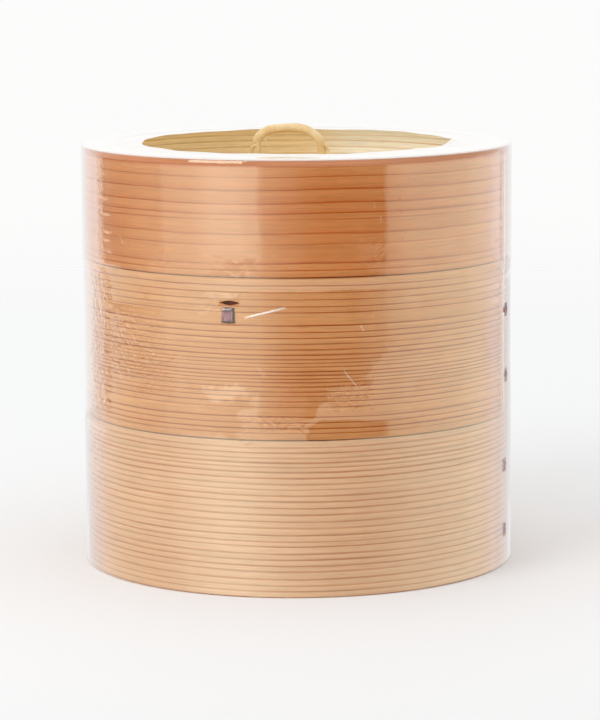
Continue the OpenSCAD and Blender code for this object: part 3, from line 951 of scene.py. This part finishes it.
def film():
    """The clear sleeve: a tube over the stack, drawn in over the rim, with an open centre."""
    rim_r = FILM_R - 0.08 * MM  # over the lid and the lower tier
    waist_r = FILM_R - 0.40 * MM  # over the upper tier
    fold = 1.5 * MM
    hole = reach_of("shrink_sleeve", min)
    heights = [*np.arange(0.4 * MM, FILM_TOP - fold, 2.2 * MM),
               *np.arange(SEAM_HIGH - 7 * MM, SEAM_HIGH + 2 * MM, 0.4 * MM),
               *np.arange(SEAM_LOW - 2 * MM, SEAM_LOW + 10 * MM, 0.8 * MM)]
    azimuths = [*np.arange(-180, 180, 0.9), *np.arange(-21.5, -13.5, 0.3), *np.arange(70, 92, 0.4)]
    for c in CLINGS:
        heights += list(np.arange(c[2] - 0.8, c[3] + 0.8, 0.3) * MM)
    for c in CREASES:
        low, high = sorted((c.a[1], c.b[1]))
        heights += list(np.arange(low - 0.6, high + 0.6, 0.22) * MM)
        low, high = sorted((c.a[0], c.b[0]))
        azimuths += list(np.arange(low - 0.5, high + 0.5, 0.14))
    azimuths = np.array(spaced(azimuths, 0.08))
    ang = np.radians(azimuths)
    even = np.zeros(len(ang))
    rows = Rows()

    def row(r, z, haze, crinkle):
        rows.add(circle_point(r + even, azimuths, z + even), haze, crinkle)

    for z in spaced(heights, 0.10 * MM):
        rise = (z - SEAM_LOW) / (8.5 * MM)
        tuck = smooth(azimuths - lerp(1.4, 3.3, min(max(rise, 0.0), 1.0))) * smooth((34 - azimuths) / 6)
        waist = lerp(smooth(rise / 3.2), smooth(rise), tuck) * smooth((SEAM_HIGH - z) / (5.5 * MM))
        r = rim_r + (waist_r - rim_r) * waist
        wave = 0.05 * np.sin(3 * ang + z * 22 + 1.0) + 0.035 * np.sin(5 * ang - z * 37)
        r = r + (wave + 0.02 * np.sin(11 * ang + z * 60 + 2.0)) * 0.7 * MM
        scallop = 0.7 * sin(z / MM * 0.84 + 1.3 * sin(z / MM * 0.33)) + 0.4 * sin(z / MM * 1.85)
        tilt = 0.010 * scallop * smooth((z - SEAM_LOW) / (9 * MM))
        for middle in (-63.5, 70.0):  # where the edges of the mirrored panels run
            arc = (azimuths - middle) * pi / 180 * HOOP_R
            r = r + arc * tilt * np.exp(-((azimuths - middle) / 4.5) ** 2)
        haze, crinkle = 0.004, 0.0
        for c in CREASES:
            ridge = c.ridge(azimuths, z)
            r = r + c.lift * MM * ridge ** 1.3
            haze = np.maximum(haze, c.haze * ridge)
        for azimuth, half, low, high, weight in CRINKLES:
            beside = smooth((half * 1.5 - np.abs(azimuths - azimuth) * MM_PER_DEGREE) / half)
            crinkle = np.maximum(crinkle, weight * beside * window(z / MM, low, high, 5))
        for azimuth, half, low, high, weight in CLINGS:
            beside = smooth((half + 0.6 - np.abs(azimuths - azimuth) * MM_PER_DEGREE) / 1.2)
            crinkle = crinkle - weight * beside * window(z / MM, low, high, 0.8)
        haze = np.maximum(haze, 0.85 * smooth((z - RIM_Z + 0.4 * MM) / (0.5 * MM)))
        row(np.clip(r, HOOP_R + 0.33 * MM, FILM_R), z, haze, crinkle)

    # The fold over the rim, then the flat ring to its uneven lip
    for k in range(1, 7):
        a = pi / 2 * k / 6
        r = rim_r - fold * (1 - cos(a))
        z = FILM_TOP - fold * (1 - sin(a))
        pucker = 0.05 * MM * sin(a) * np.sin(37 * ang + 2 * np.sin(5 * ang))
        row(r, z - np.abs(pucker), 0.93 * smooth((z - RIM_Z + 0.4 * MM) / (0.5 * MM)), 0.15)
    lip = hole + (0.5 * np.sin(2 * ang + 0.4) + 0.5 * np.sin(5 * ang + 1.0) + 0.25 * np.sin(13 * ang)) * MM
    front = np.exp(-(((azimuths - 0.2) / 9.0) ** 4))
    right = np.exp(-(((azimuths - 80) / 9.0) ** 2))
    for s in np.linspace(0, 1, 17)[1:]:
        sag = 0.35 * sin(s * pi) * smooth((s - 0.30) / 0.3) * MM  # only inside the wood's rim
        ripple = (0.12 * np.sin(7 * ang + 3 * s) + 0.09 * np.sin(17 * ang + 5 * s + 1.0)) * s * s * MM
        curl = s ** 7 * (0.15 * front + 1.4 * right) * MM
        milk = lerp(0.93, 0.50, smooth((s - 0.25) / 0.35)) * (1 - 0.75 * front * s ** 3)
        row(lerp(rim_r - fold, lip, s), FILM_TOP - sag + ripple - 0.18 * MM + curl, milk, 0.12)
    rows.build("shrink_sleeve", FILM, "sleeve", "clear_film", sharp=75.0)


# ---- studio

BRIGHTEST = 2.6
# The room that the film mirrors, as (azimuth from the front, brightness): a dark opening in front and soft
# panels beside it
ROOM_HIGH = [(-180, .85), (-150, 1.0), (-136, 1.12), (-129, 1.05), (-123, .55), (-116, .42), (-105, .42),
             (-85, .85), (-77, 1.05), (-74, 1.5), (-58, 1.88), (-45, 2.6), (-33, 2.6), (-21, 2.0),
             (-17.5, 1.05), (-8, .55), (6, .12), (14, .0), (46.5, .03), (49.5, .95), (63, 1.5), (90, 1.95),
             (108, 1.97), (122, 1.68), (134, 1.28), (139.2, 1.15), (141, .68), (143, .92), (150, .98), (180, .85)]
ROOM_MIDDLE = [(-180, .9), (-150, 1.0), (-136, 1.15), (-126, 1.42), (-112, 1.25), (-85, 1.22), (-76, 1.4),
               (-73, 1.65), (-50, 1.72), (-31, 1.45), (-21, 1.25), (-16, .85), (-8, .42), (4, .05), (30, .05),
               (39, .3), (46, .52), (50, .9), (63, 1.35), (90, 1.9), (108, 1.93), (122, 1.65), (136, 1.0),
               (150, .82), (180, .82)]
ROOM_TABLE = [(-180, .85), (-150, .85), (-136, .90), (-122, 1.25), (-108, 1.36), (-95, 1.37), (-75, 1.52),
              (-58, 2.05), (-42, 2.36), (-30, 2.28), (-10, 1.41), (6, .97), (20, .83), (35, .86), (50, 1.13),
              (63, 1.55), (90, 1.95), (108, 1.97), (122, 1.55), (136, .98), (150, .85), (180, .8)]
# The room's light on matt surfaces, much more even
ROOM_SOFT = [(-180, .80), (-120, .88), (-60, .98), (0, .95), (60, 1.05), (110, 1.25), (150, 1.15), (180, .80)]


def studio():
    """Soft light from the front left, with the pale and dark panels that the film mirrors."""
    world = bpy.data.worlds.new("studio")
    bpy.context.scene.world = world
    n = Nodes(world)
    x, y, z = n.split(n.add("TexCoord", output="Generated"))
    azimuth = n.math("ARCTAN2", x, y * -1.0) * (180 / pi)
    rise = n.math("ARCSINE", z) * (180 / pi)

    def panels(stops):
        """Brightness around the room, from (azimuth, level) stops."""
        node = n.node("ValToRGB", {0: n.span(azimuth, -180, 180, 0, 1, "LINEAR")})
        stop_list = node.color_ramp.elements  # it comes with a first and a last stop
        for k, (place, level) in enumerate(stops):
            stop = stop_list[k] if k in (0, len(stops) - 1) else stop_list.new((place + 180) / 360)
            stop.color = shade((level, level, level), 1 / BRIGHTEST)
        return Term(n, node.outputs[0])

    room = n.mix(n.span(rise, -7.1, -6.9), panels(ROOM_MIDDLE), panels(ROOM_HIGH))
    table_edge = n.span(azimuth, 20, 50, -9.25, -8.1)
    room = n.mix(n.span(rise - table_edge, -0.12, 0.12), panels(ROOM_TABLE), room)
    level = n.span(rise, -26, -22) * n.span(rise, -1, 2, 1.0, 0.0)
    room = n.mix(level, shade((1.0, 1.0, 0.99), 1 / BRIGHTEST), room)
    soft = n.mix(n.span(rise, 12, 30), panels(ROOM_SOFT), shade((1.05, 1.05, 1.04), 1 / BRIGHTEST))

    mirrored, seen = (n.add("LightPath", output=f"Is {ray} Ray") for ray in ("Glossy", "Camera"))
    shown = n.add("Background", {"Color": (1.0, 1.0, 0.995, 1), "Strength": 0.97})
    lit = n.add("Background", {"Color": n.mix(mirrored, soft, room), "Strength": BRIGHTEST})
    n.node("OutputWorld", {"Surface": n.blend(seen, lit, shown)})

    lamp = bpy.data.lights.new("key", "AREA")
    lamp.shape, lamp.size, lamp.size_y, lamp.energy = "RECTANGLE", 1.1, 1.1, 14.0
    key = link("key", lamp)
    key.location = (-1.25, -1.35, 1.00)
    key.rotation_euler = (Vector((0, 0, 0.08)) - key.location).to_track_quat("-Z", "Y").to_euler()

    reach = 1.6  # how far the table runs to the back
    mesh = bpy.data.meshes.new("table_top")
    edge = FILM_R * 6.1  # how far the table runs to the front and the sides
    side = edge * 1.4
    corners = [(-side, -edge, 0), (side, -edge, 0), (side, reach, 0), (-side, reach, 0)]
    mesh.from_pydata(corners, [], [(0, 1, 2, 3)])
    mesh.materials.append(paper_floor("paper_floor", reach))
    floor = link("table_top", mesh)
    floor.location.z = -0.1 * MM
    floor.visible_glossy = False  # the film mirrors the room's own table
    bpy.context.scene.view_settings.view_transform = "Standard"


def camera():
    lens = bpy.data.cameras.new("camera")
    lens.lens, lens.sensor_width, lens.clip_end = 164.8, 36.0, 30.0
    eye = link("camera", lens)
    eye.location = (0.0010, -1.3775, 0.2870)
    tilt, roll = radians(90 - 8.43), radians(-0.35)
    eye.rotation_euler = (Matrix.Rotation(tilt, 3, "X") @ Matrix.Rotation(roll, 3, "Z")).to_euler()
    bpy.context.scene.camera = eye


# ---- assembly

RIM_AZIMUTH = {"upper": -17.8, "lower": 168.0, "lid": 108.0}
LAP_AZIMUTH = {"upper": 74.5, "lower": 73.0, "lid": 88.0}


def stitch_slits(prefix):
    """The slits that the stitches of one outer hoop pass, and the open one above its rim stitch."""
    rim_az, lap_az = RIM_AZIMUTH[prefix], LAP_AZIMUTH[prefix]
    found = []
    for kind, azimuth in (("lap_stitch_high", lap_az), ("lap_stitch_low", lap_az), ("rim_stitch", rim_az)):
        lo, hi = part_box(f"{prefix}_{kind}")
        found += [Slit(azimuth, z, 5.8 * MM, 1.0 * MM, 0.9 * MM) for z in (lo.z, hi.z)]
    lo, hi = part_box(f"{prefix}_rim_stitch")
    found.append(Slit(rim_az + 0.3, (lo.z + hi.z) / 2 + 5.0 * MM, 8.2 * MM, 2.0 * MM, 1.9 * MM))
    return found


def assemble():
    for prefix, body, mat, rings, seed in (("lid", "lid", CEDAR_LID, LID_RINGS, 0.7),
                                           ("upper", "upper_tier", CEDAR_UPPER, UPPER_RINGS, 2.1),
                                           ("lower", "lower_tier", CEDAR_LOWER, LOWER_RINGS, 4.4)):
        wound_hoop(f"{prefix}_outer_hoop", body, f"{prefix}_cedar", mat, rings, LAP_AZIMUTH[prefix],
                   stitch_slits(prefix), seed)
        bark_stitch(f"{prefix}_lap_stitch_high", body, LAP_AZIMUTH[prefix], 3)
        bark_stitch(f"{prefix}_lap_stitch_low", body, LAP_AZIMUTH[prefix], 4)
        bark_stitch(f"{prefix}_rim_stitch", body, RIM_AZIMUTH[prefix], 5, through=True)
    lining = ("inner_cedar", CEDAR_LINING)
    for prefix, bar_seed, slat_seed in (("upper", 11, 40), ("lower", 31, 60)):
        body = f"{prefix}_tier"
        wall_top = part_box(f"{prefix}_outer_hoop")[1].z
        plain_hoop(f"{prefix}_inner_hoop", body, *lining, LINING_RINGS * 3, 1.0, wall_top)
        bars = [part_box(f"{prefix}_bar_front"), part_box(f"{prefix}_bar_back")]
        notched_hoop(f"{prefix}_ledge_hoop", body, *lining, LINING_RINGS, bars, 2.0)
        floor_strip(f"{prefix}_bar_front", body, True, bar_seed)
        floor_strip(f"{prefix}_bar_back", body, True, bar_seed + 1)
        for k in range(1, 15):
            floor_strip(f"{prefix}_slat_{k}", body, False, slat_seed + k)
    plain_hoop("lid_lining_hoop", "lid", *lining, LINING_RINGS, 3.0)
    plain_hoop("lid_seat_hoop", "lid", *lining, LINING_RINGS, 5.0)
    woven_disc("lid_woven_top", 24, True, radians(45), 7)
    woven_disc("lid_woven_lining", 14, False, 0.0, 8)
    batten("lid_top_batten", 21)
    batten("lid_under_batten", 22)
    handle()
    handle_tie("handle_tie_left", -1)
    handle_tie("handle_tie_right", 1)
    film()


assemble()
studio()
camera()
